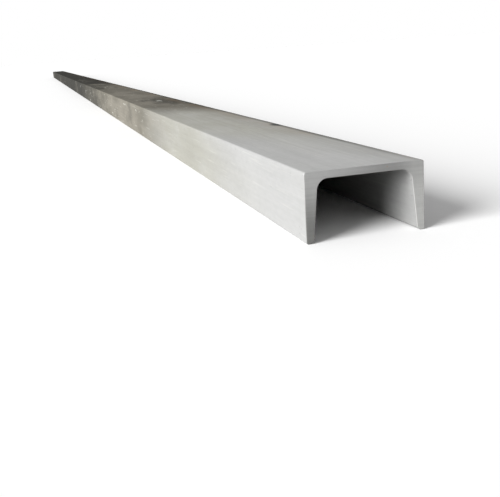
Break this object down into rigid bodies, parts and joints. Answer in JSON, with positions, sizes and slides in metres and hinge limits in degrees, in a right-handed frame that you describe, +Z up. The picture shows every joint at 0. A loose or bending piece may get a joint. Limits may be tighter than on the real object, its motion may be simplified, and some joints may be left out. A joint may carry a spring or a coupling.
{
  "type": "steel channel",
  "caption": "Straight length of hot-rolled mild steel channel: a flat web with a tapered, round-toed flange along each edge, sawn square at the ends.",
  "frame": {"origin": "on the floor under the middle of the bar, midway between the flange toes and midway between the sawn ends", "axes": "+Y along the length, +X across the web, +Z up from the toes to the back of the web; the bar lies web up, as in the picture"},
  "size_m": [0.08, 6, 0.045],
  "materials": {
    "rolled_steel": "hot-rolled mild steel, matt grey mill scale, sawn ends"
  },
  "bodies": {
    "root": {"channel": "rolled_steel"}
  },
  "joints": []
}
